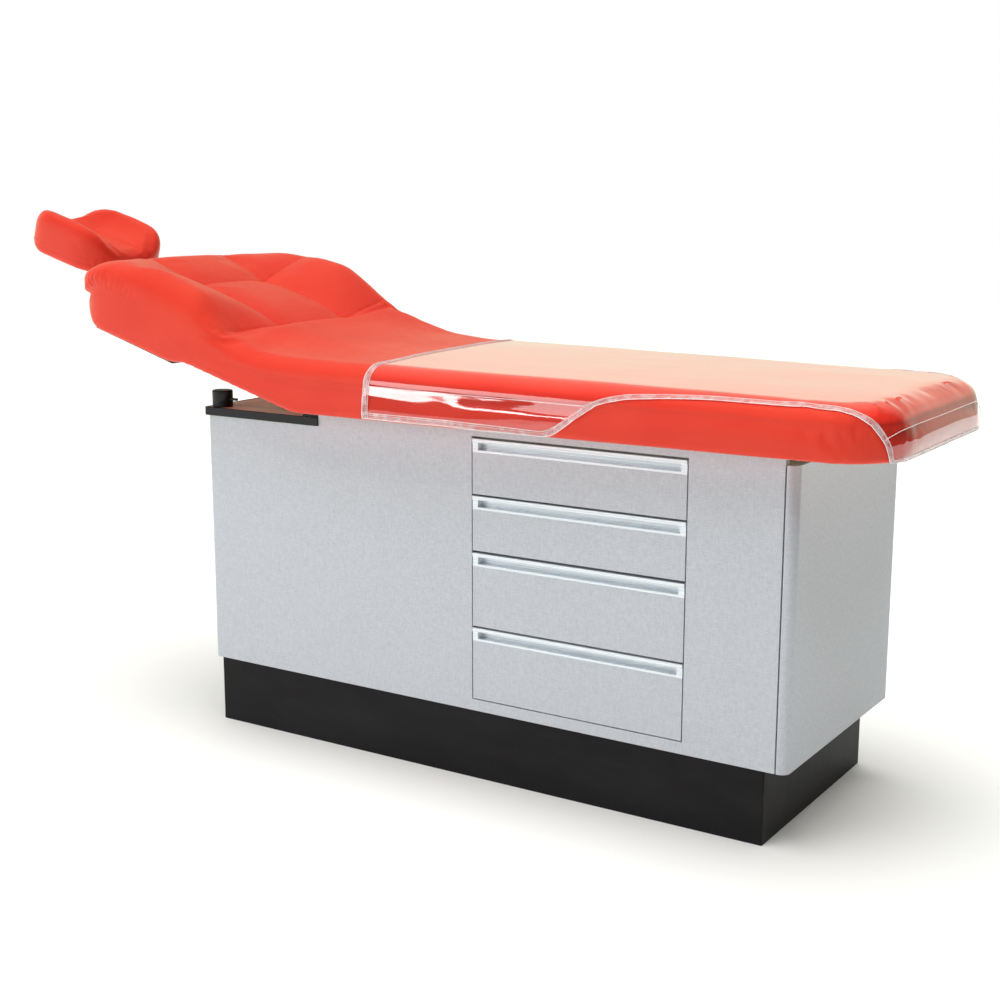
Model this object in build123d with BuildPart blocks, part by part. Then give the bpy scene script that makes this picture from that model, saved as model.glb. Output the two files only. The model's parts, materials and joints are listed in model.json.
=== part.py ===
from build123d import *
import math
import os

# Medical exam table: a cabinet with four drawers and an end door on a recessed plinth, a contoured
# upholstered top with a small service counter under its head end, and an adjustable headrest.
# Millimetres. The origin is on the floor at the centre of the cabinet's footprint, +X towards the foot
# end, -Y towards the drawer side, +Z up.

# ---------------------------------------------------------------- driving dimensions
CABINET_LENGTH = 1350.0
CABINET_DEPTH = 520.0
PLINTH_HEIGHT = 150.0
PANEL = 18.0  # thickness of the cabinet boards
DECK_TOP = 706.0
FRONT_TOP = 716.0  # top edge of the front and back panels
SEAT_BOTTOM = 722.0
SEAT_TOP = 820.0
TOP_WIDTH = 660.0  # upholstered top
FOOT_END = 848.0
HEAD_END = -1000.0
BACK_SLOPE = 16.4  # slope of the backrest's underside, degrees
DRAWER_TRAVEL = 350.0
GLUE = 0.1  # glue line between boards of one sub-part
RUNNING = 0.05  # radial clearance of a pin in a turning eye

# ---------------------------------------------------------------- derived places
X_HEAD = -CABINET_LENGTH / 2
X_FOOT = CABINET_LENGTH / 2
Y_FRONT = -CABINET_DEPTH / 2
Y_REAR = CABINET_DEPTH / 2
FLOOR_TOP = PLINTH_HEIGHT + PANEL
DECK_BOTTOM = DECK_TOP - PANEL
DOOR_INNER = X_FOOT - 20.0
CARCASS_END = DOOR_INNER - 3.0
COUNTER_END = -367.0  # foot-side end of the open service counter
OPENING_X = (9.5, 470.5)  # drawer opening in the front panel
OPENING_Z = (173.0, 701.0)
PARTITION_X = (8.0, 472.0)  # faces of the two drawer partitions that look at the drawers
DRAWER_X = (12.0, 468.0)
DRAWER_BOX_X = (21.0, 459.0)
DRAWER_BOX_REAR = 180.0
DRAWER_FRONTS = ((588.0, 670.0), (476.0, 558.0), (324.0, 445.0), (175.0, 294.0))
DRAWER_BOX_HEIGHTS = (60.0, 60.0, 95.0, 95.0)
CLEAT_X = (-320.0, -60.0, 240.0, 560.0)
CLEAT_SCREW_Y = (-150.0, 150.0)
HINGE_AXIS = (653.5, Y_REAR + 5.0)
HINGE_Z = (230.0, 430.0, 630.0)
HINGE_HEIGHT = 60.0
POST = (-650.0, -236.0)
ARM_THICKNESS = 8.0  # flat bars that carry the backrest
ARM_WIDTH = 40.0
ARM_Y = 205.0
ARM_DECK_SCREW_X = (-240.0, -160.0)
ARM_PANEL_SCREW_T = (60.0, 180.0)

slope = math.radians(BACK_SLOPE)
UNDER_START = (-720.0, 806.0)  # where the straight underside of the backrest begins
# Along the underside towards the head; z of this plane is the depth below the upholstery.
UNDER = Plane(
    origin=(UNDER_START[0], 0, UNDER_START[1]),
    x_dir=(-math.cos(slope), 0, math.sin(slope)),
    z_dir=(-math.sin(slope), 0, -math.cos(slope)),
)
HEADREST_TILT = math.radians(16.0)
HEADREST_BASE = (-1272.0, 0.0, 996.0)  # centre of the headrest pad's flat underside
HEADREST = Plane(
    origin=HEADREST_BASE,
    x_dir=(-math.cos(HEADREST_TILT), 0, math.sin(HEADREST_TILT)),
    z_dir=(math.sin(HEADREST_TILT), 0, math.cos(HEADREST_TILT)),
)
BAR_DEPTH = 18.5  # depth of the headrest bar's centre line below the upholstery
LOWER_PIVOT_T = 385.0  # place of the lower pivot along the underside
LOWER_PIVOT = UNDER.from_local_coords((LOWER_PIVOT_T, 0, BAR_DEPTH))
UPPER_PIVOT = HEADREST.from_local_coords((-85.0, 0, -34.0))
PIVOT_RADIUS = 4.0

os.makedirs("parts", exist_ok=True)


# ---------------------------------------------------------------- helpers
def board(x, y, z, plane=Plane.XY, mode=Mode.ADD):
    """A board in the part being built, from its (low, high) pairs along the plane's x, y and z."""
    with Locations(plane):
        with Locations(((x[0] + x[1]) / 2, (y[0] + y[1]) / 2, (z[0] + z[1]) / 2)):
            Box(x[1] - x[0], y[1] - y[0], z[1] - z[0], mode=mode)


def pin(start, direction, radius, length, mode=Mode.ADD):
    """A round pin, or with mode SUBTRACT a hole, from start along direction."""
    with Locations(Plane(origin=start, z_dir=direction)):
        Cylinder(radius, length, align=(Align.CENTER, Align.CENTER, Align.MIN), mode=mode)


def write(builder, name):
    """Labels a finished sub-part and writes it as parts/name.step."""
    builder.part.label = name
    export_step(builder.part, f"parts/{name}.step")


# ---------------------------------------------------------------- plinth
PLINTH_X = (-672.0, 625.0)
PLINTH_Y = (-240.0, 258.0)
PLINTH_Z = (0.0, PLINTH_HEIGHT)
PLINTH_INNER_Y = (PLINTH_Y[0] + PANEL, PLINTH_Y[1] - PANEL)

with BuildPart() as plinth_front_board:
    board(PLINTH_X, (PLINTH_Y[0], PLINTH_INNER_Y[0]), PLINTH_Z)
    fillet(plinth_front_board.edges().filter_by(Axis.Z).group_by(Axis.Y)[0], radius=3)
write(plinth_front_board, "plinth_front_board")

with BuildPart() as plinth_rear_board:
    board(PLINTH_X, (PLINTH_INNER_Y[1], PLINTH_Y[1]), PLINTH_Z)
write(plinth_rear_board, "plinth_rear_board")

with BuildPart() as plinth_cross_boards:
    for x in (PLINTH_X[0] + PANEL / 2, -340.0, 0.0, 320.0, PLINTH_X[1] - PANEL / 2):
        board((x - PANEL / 2, x + PANEL / 2), PLINTH_INNER_Y, PLINTH_Z)
write(plinth_cross_boards, "plinth_cross_boards")

# ---------------------------------------------------------------- cabinet carcass
INNER_Y = (Y_FRONT + PANEL, Y_REAR - PANEL)

with BuildPart() as cabinet_floor:
    board((X_HEAD + PANEL, CARCASS_END), INNER_Y, (PLINTH_HEIGHT, FLOOR_TOP))
write(cabinet_floor, "cabinet_floor")

with BuildPart() as front_panel:
    board((X_HEAD, CARCASS_END), (Y_FRONT, INNER_Y[0]), (PLINTH_HEIGHT, FRONT_TOP))
    board((X_HEAD, COUNTER_END), (Y_FRONT, INNER_Y[0]), (DECK_BOTTOM, FRONT_TOP), mode=Mode.SUBTRACT)
    board(OPENING_X, (Y_FRONT, INNER_Y[0]), OPENING_Z, mode=Mode.SUBTRACT)
    corner = front_panel.edges().filter_by(Axis.Z).group_by(Axis.X)[0].sort_by(Axis.Y)[0]
    fillet(corner, radius=14)
write(front_panel, "front_panel")

with BuildPart() as back_panel:
    board((X_HEAD, CARCASS_END), (INNER_Y[1], Y_REAR), (PLINTH_HEIGHT, FRONT_TOP))
    board((X_HEAD, COUNTER_END), (INNER_Y[1], Y_REAR), (DECK_BOTTOM, FRONT_TOP), mode=Mode.SUBTRACT)
    corner = back_panel.edges().filter_by(Axis.Z).group_by(Axis.X)[0].sort_by(Axis.Y)[-1]
    fillet(corner, radius=14)
    for z in HINGE_Z:
        for dz in (-20.0, 20.0):
            pin((634.0, Y_REAR, z + dz), (0, -1, 0), 2.0, 15.0, mode=Mode.SUBTRACT)
write(back_panel, "back_panel")

with BuildPart() as head_end_panel:
    board((X_HEAD, X_HEAD + PANEL), INNER_Y, (PLINTH_HEIGHT, DECK_BOTTOM))
write(head_end_panel, "head_end_panel")

with BuildPart() as drawer_partitions:
    board((PARTITION_X[0] - PANEL, PARTITION_X[0]), INNER_Y, (FLOOR_TOP, DECK_BOTTOM))
    board((PARTITION_X[1], PARTITION_X[1] + PANEL), INNER_Y, (FLOOR_TOP, DECK_BOTTOM))
write(drawer_partitions, "drawer_partitions")

with BuildPart() as deck_board:
    board((COUNTER_END, CARCASS_END), INNER_Y, (DECK_BOTTOM, DECK_TOP))
    board((X_HEAD, COUNTER_END), (Y_FRONT, Y_REAR), (DECK_BOTTOM, DECK_TOP))
    board(OPENING_X, (INNER_Y[0], INNER_Y[0] + 1), (DECK_BOTTOM, OPENING_Z[1]), mode=Mode.SUBTRACT)
    for x in CLEAT_X:
        for y in CLEAT_SCREW_Y:
            pin((x, y, DECK_BOTTOM), (0, 0, 1), 3.0, PANEL, mode=Mode.SUBTRACT)
    for x in ARM_DECK_SCREW_X:
        for y in (-ARM_Y, ARM_Y):
            pin((x, y, DECK_TOP), (0, 0, -1), 3.0, 14.0, mode=Mode.SUBTRACT)
write(deck_board, "deck_board")

TRIM = 4.0
TRIM_Z = (DECK_BOTTOM + 1.0, DECK_TOP + 1.0)

with BuildPart() as counter_edge_trim:
    board((X_HEAD - TRIM, COUNTER_END), (Y_FRONT - TRIM, Y_REAR + TRIM), TRIM_Z)
    fillet(counter_edge_trim.edges().filter_by(Axis.Z).group_by(Axis.X)[0], radius=6)
    board((X_HEAD, COUNTER_END), (Y_FRONT, Y_REAR), TRIM_Z, mode=Mode.SUBTRACT)
write(counter_edge_trim, "counter_edge_trim")

END_BLOCK_X = (COUNTER_END - 38.0, COUNTER_END)

with BuildPart() as counter_end_block:
    with BuildSketch(Plane.XZ):
        with BuildLine():
            Polyline(
                (END_BLOCK_X[0] - 5, DECK_TOP),
                (END_BLOCK_X[1] - 0.5, DECK_TOP),
                (END_BLOCK_X[1] - 0.5, SEAT_BOTTOM - 2),
                (END_BLOCK_X[0], SEAT_BOTTOM - 2),
                close=True,
            )
        make_face()
    extrude(amount=CABINET_DEPTH / 2, both=True)
    for side in (-1, 1):
        arm_gap = sorted((side * (ARM_Y - ARM_WIDTH / 2 - 3), side * (ARM_Y + ARM_WIDTH / 2 + 3)))
        board((END_BLOCK_X[0] - 10, END_BLOCK_X[1]), arm_gap, (DECK_TOP, SEAT_BOTTOM), mode=Mode.SUBTRACT)
write(counter_end_block, "counter_end_block")

# ---------------------------------------------------------------- upholstered top and its base
CLEAT_WIDTH = 40.0

with BuildPart() as mounting_cleats:
    for x in CLEAT_X:
        board((x - CLEAT_WIDTH / 2, x + CLEAT_WIDTH / 2), (-180, 180), (DECK_TOP, SEAT_BOTTOM))
        for y in CLEAT_SCREW_Y:
            pin((x, y, DECK_TOP), (0, 0, 1), 3.0, SEAT_BOTTOM - DECK_TOP, mode=Mode.SUBTRACT)
write(mounting_cleats, "mounting_cleats")

BASE_BOARD = 12.0
BASE_INSET = 30.0
SEAT_BOARD_X = (-380.0, FOOT_END - 40.0)
SCREW_BITE = 10.0  # how far the mounting screws enter the seat board

with BuildPart() as seat_board:
    board(SEAT_BOARD_X, (-270, 270), (SEAT_BOTTOM, SEAT_BOTTOM + BASE_BOARD))
    fillet(seat_board.edges().filter_by(Axis.Z).group_by(Axis.X)[-1], radius=60)
    for x in CLEAT_X:
        for y in CLEAT_SCREW_Y:
            pin((x, y, SEAT_BOTTOM), (0, 0, 1), 3.0, SCREW_BITE, mode=Mode.SUBTRACT)
write(seat_board, "seat_board")

with BuildPart() as top_mounting_screws:
    for x in CLEAT_X:
        for y in CLEAT_SCREW_Y:
            pin((x, y, DECK_BOTTOM), (0, 0, 1), 3.0, SEAT_BOTTOM + SCREW_BITE - DECK_BOTTOM)
            pin((x, y, DECK_BOTTOM), (0, 0, -1), 6.0, 3.5)
write(top_mounting_screws, "top_mounting_screws")

BACK_BOARD_T = (6.0, 240.0)
BACK_BOARD_Y = (-290.0, 290.0)
BRACKET_T = (120.0, 240.0)
BRACKET_SCREWS = [(t, y) for t in (135.0, 225.0) for y in (-36.0, 36.0)]
PANEL_DEPTH = 8.0

back_screws = BRACKET_SCREWS + [(t, y) for t in ARM_PANEL_SCREW_T for y in (-ARM_Y, ARM_Y)]

with BuildPart() as back_board:
    board(BACK_BOARD_T, BACK_BOARD_Y, (-BASE_BOARD, 0), plane=UNDER)
    for t, y in back_screws:
        pin(UNDER.from_local_coords((t, y, 0)), -UNDER.z_dir, 2.5, 9.0, mode=Mode.SUBTRACT)
write(back_board, "back_board")

with BuildPart() as back_under_panel:
    board(BACK_BOARD_T, (-305, 305), (0, PANEL_DEPTH), plane=UNDER)
    for t, y in back_screws:
        pin(UNDER.from_local_coords((t, y, PANEL_DEPTH)), -UNDER.z_dir, 2.5, PANEL_DEPTH, mode=Mode.SUBTRACT)
write(back_under_panel, "back_under_panel")

# Two bent flat bars carry the backrest from the deck.
arm_foot = (-130.0, DECK_TOP)
arm_rise = (-398.0, DECK_TOP)
arm_knee = UNDER.from_local_coords((4.0, 0, PANEL_DEPTH + ARM_THICKNESS))
arm_head = UNDER.from_local_coords((205.0, 0, PANEL_DEPTH + ARM_THICKNESS))

with BuildPart() as back_support_arms:
    with BuildSketch(Plane.XZ):
        with BuildLine() as arm_line:
            Polyline(arm_foot, arm_rise, (arm_knee.X, arm_knee.Z), (arm_head.X, arm_head.Z))
            offset(amount=ARM_THICKNESS, side=Side.RIGHT)
        make_face()
    extrude(amount=ARM_Y + ARM_WIDTH / 2, both=True)
    board((-1000, 0), (-ARM_Y + ARM_WIDTH / 2, ARM_Y - ARM_WIDTH / 2), (600, 1100), mode=Mode.SUBTRACT)
    for y in (-ARM_Y, ARM_Y):
        for x in ARM_DECK_SCREW_X:
            pin((x, y, DECK_TOP), (0, 0, 1), 3.0, ARM_THICKNESS, mode=Mode.SUBTRACT)
        for t in ARM_PANEL_SCREW_T:
            under_arm = UNDER.from_local_coords((t, y, PANEL_DEPTH + ARM_THICKNESS))
            pin(under_arm, -UNDER.z_dir, 2.5, ARM_THICKNESS, mode=Mode.SUBTRACT)
write(back_support_arms, "back_support_arms")

with BuildPart() as arm_screws:
    for y in (-ARM_Y, ARM_Y):
        for x in ARM_DECK_SCREW_X:
            pin((x, y, DECK_TOP - 14), (0, 0, 1), 3.0, 14 + ARM_THICKNESS)
            pin((x, y, DECK_TOP + ARM_THICKNESS), (0, 0, 1), 6.5, 4.0)
        for t in ARM_PANEL_SCREW_T:
            under_arm = UNDER.from_local_coords((t, y, PANEL_DEPTH + ARM_THICKNESS))
            pin(under_arm, -UNDER.z_dir, 2.5, ARM_THICKNESS + PANEL_DEPTH + 9)
            pin(under_arm, UNDER.z_dir, 4.5, 2.6)
write(arm_screws, "arm_screws")

UNDER_END = UNDER.from_local_coords(((UNDER_START[0] - HEAD_END) / math.cos(slope), 0, 0))

with BuildPart() as main_cushion:
    with BuildSketch(Plane.XZ):
        with BuildLine():
            FilletPolyline(
                (FOOT_END, SEAT_BOTTOM),
                (FOOT_END, SEAT_TOP - 8),
                (-425, SEAT_TOP),
                (-683, 868),
                (-911, 1018),
                (HEAD_END, 1022),
                (HEAD_END, UNDER_END.Z),
                UNDER_START,
                (-672, 807),
                (-385, SEAT_BOTTOM),
                radius=[8, 44, 600, 300, 120, 40, 40, 40, 40, 120],
                close=True,
            )
        make_face()
    extrude(amount=TOP_WIDTH / 2, both=True)
    with BuildSketch(Plane.XY.offset(SEAT_BOTTOM - 50)) as top_plan:
        with BuildLine():
            FilletPolyline(
                (0, -TOP_WIDTH / 2),
                (FOOT_END, -TOP_WIDTH / 2 + 22),
                (FOOT_END, TOP_WIDTH / 2 - 22),
                (0, TOP_WIDTH / 2),
                (HEAD_END, TOP_WIDTH / 2),
                (HEAD_END, -TOP_WIDTH / 2),
                radius=[600, 115, 115, 600, 80, 80],
                close=True,
            )
        make_face()
    extrude(amount=500, mode=Mode.INTERSECT)
    board(SEAT_BOARD_X, (-270, 270), (SEAT_BOTTOM, SEAT_BOTTOM + BASE_BOARD), mode=Mode.SUBTRACT)
    board(BACK_BOARD_T, BACK_BOARD_Y, (-BASE_BOARD, 0), plane=UNDER, mode=Mode.SUBTRACT)
write(main_cushion, "main_cushion")

# Clear vinyl cover over the foot half: a long tongue over the foot end and a band down both sides.
COVER_GAP = 1.0
COVER_THICKNESS = 1.2
COVER_HEAD = -190.0
COVER_BAND_END = 330.0
COVER_HALF_TONGUE = 285.0
cover_side = TOP_WIDTH / 2 + COVER_GAP

with BuildPart() as foot_cover:
    with BuildSketch(Plane.XZ):
        with BuildLine():
            FilletPolyline(
                (COVER_HEAD, SEAT_TOP - 1.5 + COVER_GAP),
                (FOOT_END + COVER_GAP, SEAT_TOP - 8 + COVER_GAP),
                (FOOT_END + COVER_GAP, 732),
                radius=45,
            )
            offset(amount=COVER_THICKNESS, side=Side.LEFT)
        make_face()
    extrude(amount=cover_side + COVER_THICKNESS, both=True)
    for side in (-1, 1):
        outer = sorted((side * COVER_HALF_TONGUE, side * (cover_side + 10)))
        board((COVER_BAND_END, FOOT_END + 10), outer, (700, 840), mode=Mode.SUBTRACT)
        drop = sorted((side * cover_side, side * (cover_side + COVER_THICKNESS)))
        board((COVER_HEAD, 200), drop, (SEAT_BOTTOM, SEAT_TOP - 1))
write(foot_cover, "foot_cover")

# ---------------------------------------------------------------- end door, hinges and catch
KNUCKLE_RADIUS = 4.5
HINGE_PIN_RADIUS = 2.5
LEAF = 2.0

with BuildPart() as end_door:
    board((DOOR_INNER, X_FOOT), (Y_FRONT, Y_REAR), (PLINTH_HEIGHT, DECK_TOP - 1))
    corner = end_door.edges().filter_by(Axis.Z).group_by(Axis.X)[-1].sort_by(Axis.Y)[0]
    fillet(corner, radius=17)
    for z in HINGE_Z:
        for dz in (-20.0, 20.0):
            pin((X_FOOT - 10, Y_REAR, z + dz), (0, -1, 0), 2.0, 15.0, mode=Mode.SUBTRACT)
write(end_door, "end_door")


def hinge_leaf(x, screw_x, knuckles, bore):
    """Three leaves in the part being built: a plate on the rear face, its knuckles and screw holes."""
    for z in HINGE_Z:
        board(x, (Y_REAR, Y_REAR + LEAF), (z - HINGE_HEIGHT / 2, z + HINGE_HEIGHT / 2))
        for low, high in knuckles:
            pin((*HINGE_AXIS, z + low), (0, 0, 1), KNUCKLE_RADIUS, high - low)
            link_x = sorted((HINGE_AXIS[0], x[0] if x[0] > HINGE_AXIS[0] else x[1]))
            board(link_x, (Y_REAR + 0.5, Y_REAR + LEAF), (z + low, z + high))
            pin((*HINGE_AXIS, z + low), (0, 0, 1), bore, high - low, mode=Mode.SUBTRACT)
        for dz in (-20.0, 20.0):
            pin((screw_x, Y_REAR, z + dz), (0, 1, 0), 2.0, LEAF, mode=Mode.SUBTRACT)


def hinge_screws(x):
    """Two pan-head wood screws for each of the three leaves, in the part being built."""
    for z in HINGE_Z:
        for dz in (-20.0, 20.0):
            pin((x, Y_REAR + LEAF, z + dz), (0, -1, 0), 2.0, LEAF + 13)
            pin((x, Y_REAR + LEAF, z + dz), (0, 1, 0), 3.6, 1.6)


OUTER_KNUCKLES = ((-30.0, -10.2), (10.2, 30.0))
MIDDLE_KNUCKLE = ((-10.0, 10.0),)

with BuildPart() as door_hinge_fixed_leaves:
    hinge_leaf((616.0, 650.0), 634.0, OUTER_KNUCKLES, HINGE_PIN_RADIUS)
write(door_hinge_fixed_leaves, "door_hinge_fixed_leaves")

with BuildPart() as door_hinge_moving_leaves:
    hinge_leaf((657.0, 674.0), X_FOOT - 10, MIDDLE_KNUCKLE, HINGE_PIN_RADIUS + RUNNING)
    for z in HINGE_Z:
        for low, high in OUTER_KNUCKLES:
            board((649, 658.5), (Y_REAR, Y_REAR + 12), (z + low - 0.2, z + high + 0.2), mode=Mode.SUBTRACT)
write(door_hinge_moving_leaves, "door_hinge_moving_leaves")

with BuildPart() as door_hinge_pins:
    for z in HINGE_Z:
        pin((*HINGE_AXIS, z - 30), (0, 0, 1), HINGE_PIN_RADIUS, HINGE_HEIGHT)
        pin((*HINGE_AXIS, z + 30), (0, 0, 1), 3.6, 2.0)
write(door_hinge_pins, "door_hinge_pins")

for name, x in (("hinge_screws_fixed", 634.0), ("hinge_screws_moving", X_FOOT - 10)):
    with BuildPart() as screws:
        hinge_screws(x)
    write(screws, name)

CATCH_Z = (430.0, 480.0)

with BuildPart() as door_catch:
    board((628, CARCASS_END), (INNER_Y[0], INNER_Y[0] + 14), CATCH_Z)
    fillet(door_catch.edges().filter_by(Axis.X), radius=2)
write(door_catch, "door_catch")

with BuildPart() as catch_strike:
    board((DOOR_INNER - 1.2, DOOR_INNER), (INNER_Y[0], INNER_Y[0] + 18), (CATCH_Z[0] - 4, CATCH_Z[1] + 4))
write(catch_strike, "catch_strike")

# ---------------------------------------------------------------- drawers
BOX_BOARD = 12.0
BOX_BOTTOM = 6.0
HANDLE_HEIGHT = 26.5
HANDLE_CAP = 12.0
SLIDE_Y = (-238.0, 162.0)
BOX_RISE = 4.0  # box floor above the bottom edge of the drawer front

# Half heights, web and flange reach of the three nested slide members, measured from a partition.
SLIDE_WALL = 1.2
OUTER_MEMBER = (22.0, (0.0, SLIDE_WALL), (0.0, 10.0))
MIDDLE_MEMBER = (19.5, (3.0, 3.0 + SLIDE_WALL), (3.0, 11.0))
INNER_MEMBER = (16.0, (13.0 - SLIDE_WALL, 13.0), (5.5, 13.0))


def slide_member(member, z):
    """One slide member for both sides of a drawer, in the part being built."""
    half, web, reach = member
    for face, direction in ((PARTITION_X[0], 1), (PARTITION_X[1], -1)):
        web_x = sorted(face + direction * v for v in web)
        reach_x = sorted(face + direction * v for v in reach)
        board(web_x, SLIDE_Y, (z - half, z + half))
        board(reach_x, SLIDE_Y, (z + half - SLIDE_WALL, z + half))
        board(reach_x, SLIDE_Y, (z - half, z - half + SLIDE_WALL))


def box_floor(front):
    """Height of the underside of the drawer box behind a (low, high) front."""
    return front[0] + BOX_RISE


slide_heights = [box_floor(f) + h / 2 for f, h in zip(DRAWER_FRONTS, DRAWER_BOX_HEIGHTS)]

with BuildPart() as drawer_slide_outer_members:
    for z in slide_heights:
        slide_member(OUTER_MEMBER, z)
write(drawer_slide_outer_members, "drawer_slide_outer_members")

for number, (front, height) in enumerate(zip(DRAWER_FRONTS, DRAWER_BOX_HEIGHTS), start=1):
    with BuildPart() as drawer_front:
        board(DRAWER_X, (Y_FRONT, INNER_Y[0]), front)
        fillet(drawer_front.edges().filter_by(Axis.X).group_by(Axis.Y)[0], radius=1)
    write(drawer_front, f"drawer_front_{number}")

    top = front[1]
    with BuildPart() as drawer_handle:
        with BuildSketch(Plane.YZ.offset(DRAWER_X[0] + HANDLE_CAP)):
            with BuildLine():
                Polyline(
                    (Y_FRONT, top),
                    (INNER_Y[0], top),
                    (INNER_Y[0], top + HANDLE_HEIGHT),
                    (Y_FRONT - 2, top + HANDLE_HEIGHT),
                    (Y_FRONT - 2, top + HANDLE_HEIGHT - 7),
                    (Y_FRONT, top + HANDLE_HEIGHT - 7),
                    (Y_FRONT, top + HANDLE_HEIGHT - 2.5),
                    (INNER_Y[0] - 2, top + HANDLE_HEIGHT - 2.5),
                    (INNER_Y[0] - 2, top + 4.5),
                    (Y_FRONT, top + 4.5),
                    close=True,
                )
            make_face()
        extrude(amount=DRAWER_X[1] - DRAWER_X[0] - 2 * HANDLE_CAP)
        for x in (DRAWER_X[0], DRAWER_X[1] - HANDLE_CAP + GLUE):
            board((x, x + HANDLE_CAP - GLUE), (Y_FRONT, INNER_Y[0]), (top, top + HANDLE_HEIGHT - 7.2))
            board((x, x + HANDLE_CAP - GLUE), (Y_FRONT - 2, INNER_Y[0]), (top + HANDLE_HEIGHT - 7.2, top + HANDLE_HEIGHT))
    write(drawer_handle, f"drawer_handle_{number}")

    floor_z = box_floor(front)
    box_z = (floor_z, floor_z + height)
    inside_x = (DRAWER_BOX_X[0] + BOX_BOARD + GLUE, DRAWER_BOX_X[1] - BOX_BOARD - GLUE)
    inside_y = (INNER_Y[0] + BOX_BOARD + GLUE, DRAWER_BOX_REAR - BOX_BOARD - GLUE)
    with BuildPart() as drawer_box:
        for x in (DRAWER_BOX_X[0], DRAWER_BOX_X[1] - BOX_BOARD):
            board((x, x + BOX_BOARD), (INNER_Y[0], DRAWER_BOX_REAR), box_z)
        for y in (INNER_Y[0], DRAWER_BOX_REAR - BOX_BOARD):
            board(inside_x, (y, y + BOX_BOARD), box_z)
        board(inside_x, inside_y, (floor_z + 6, floor_z + 6 + BOX_BOTTOM))
    write(drawer_box, f"drawer_box_{number}")

    slide_z = floor_z + height / 2
    for member, name in ((INNER_MEMBER, "inner"), (MIDDLE_MEMBER, "mid")):
        with BuildPart() as drawer_slide:
            slide_member(member, slide_z)
        write(drawer_slide, f"drawer_slide_{name}_{number}")

# ---------------------------------------------------------------- counter post
POST_RADIUS = 22.0
POST_SPLIT = DECK_TOP + 14.0
POST_TOP = DECK_TOP + 36.0
STEM_RADIUS = 8.0

with BuildPart() as counter_post:
    pin((*POST, DECK_TOP), (0, 0, 1), POST_RADIUS, POST_SPLIT - DECK_TOP)
    fillet(counter_post.edges().group_by(Axis.Z)[0], radius=1.5)
    pin((*POST, POST_SPLIT), (0, 0, 1), STEM_RADIUS, 16.0)
write(counter_post, "counter_post")

with BuildPart() as counter_post_cap:
    pin((*POST, POST_SPLIT + 0.3), (0, 0, 1), POST_RADIUS, POST_TOP - POST_SPLIT - 0.3)
    fillet(counter_post_cap.edges().group_by(Axis.Z)[-1], radius=3)
    pin((*POST, POST_SPLIT + 0.3), (0, 0, 1), STEM_RADIUS + RUNNING, 16.2, mode=Mode.SUBTRACT)
    board((POST[0] + 20, POST[0] + 41), (POST[1] - 3, POST[1] + 3), (POST_SPLIT + 1, POST_SPLIT + 6))
write(counter_post_cap, "counter_post_cap")

# ---------------------------------------------------------------- headrest
BAR_T = (100.0, 368.0)
BAR_HALF_WIDTH = 15.0
BAR_HALF_HEIGHT = 6.0
TONGUE_HALF = 8.0
CHEEK = (8.3, 13.3)  # the link's two cheeks, from the middle plane
CHEEK_RADIUS = 12.0
WALL = 7.0
bar_z = (BAR_DEPTH - BAR_HALF_HEIGHT, BAR_DEPTH + BAR_HALF_HEIGHT)
cavity_y = BAR_HALF_WIDTH + 0.2
cavity_z = (bar_z[0] - 0.2, bar_z[1] + 0.2)
KNOB_T = 180.0
STUD_RADIUS = 4.0
STUD_TIP = BAR_HALF_WIDTH + 0.1

with BuildPart() as headrest_bracket:
    board(BRACKET_T, (-46, 46), (PANEL_DEPTH, cavity_z[0]), plane=UNDER)
    board(BRACKET_T, (-cavity_y - WALL, cavity_y + WALL), (cavity_z[0], cavity_z[1] + WALL), plane=UNDER)
    board(BRACKET_T, (-cavity_y, cavity_y), cavity_z, plane=UNDER, mode=Mode.SUBTRACT)
    pin(
        UNDER.from_local_coords((KNOB_T, cavity_y, BAR_DEPTH)),
        (0, 1, 0),
        STUD_RADIUS + RUNNING,
        WALL,
        mode=Mode.SUBTRACT,
    )
    for t, y in BRACKET_SCREWS:
        pin(UNDER.from_local_coords((t, y, cavity_z[0])), -UNDER.z_dir, 2.5, 5.0, mode=Mode.SUBTRACT)
write(headrest_bracket, "headrest_bracket")

with BuildPart() as headrest_bracket_screws:
    for t, y in BRACKET_SCREWS:
        head = UNDER.from_local_coords((t, y, cavity_z[0]))
        pin(head, -UNDER.z_dir, 2.5, cavity_z[0] + 8.5)
        pin(head, UNDER.z_dir, 4.2, 2.6)
write(headrest_bracket_screws, "headrest_bracket_screws")

KNOB_FACE = 50.0
KNOB_RADIUS = 9.5
KNOB_LENGTH = 22.0

with BuildPart() as headrest_clamp_knob:
    stud = UNDER.from_local_coords((KNOB_T, STUD_TIP, BAR_DEPTH))
    grip = UNDER.from_local_coords((KNOB_T, KNOB_FACE, BAR_DEPTH))
    pin(stud, (0, 1, 0), STUD_RADIUS, KNOB_FACE - STUD_TIP)
    pin(grip, (0, 1, 0), KNOB_RADIUS, KNOB_LENGTH)
    fillet(headrest_clamp_knob.edges().filter_by(GeomType.CIRCLE).group_by(Axis.Y)[-1], radius=2)
    with Locations(Plane(origin=grip, z_dir=(0, 1, 0))):
        with PolarLocations(KNOB_RADIUS + 1.5, 6):
            Cylinder(3.0, KNOB_LENGTH, align=(Align.CENTER, Align.CENTER, Align.MIN), mode=Mode.SUBTRACT)
write(headrest_clamp_knob, "headrest_clamp_knob")


def pivot_hole(pivot, radius):
    """A hole across the part being built, along Y through a pivot."""
    pin((pivot.X, -40, pivot.Z), (0, 1, 0), radius, 80, mode=Mode.SUBTRACT)


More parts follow.
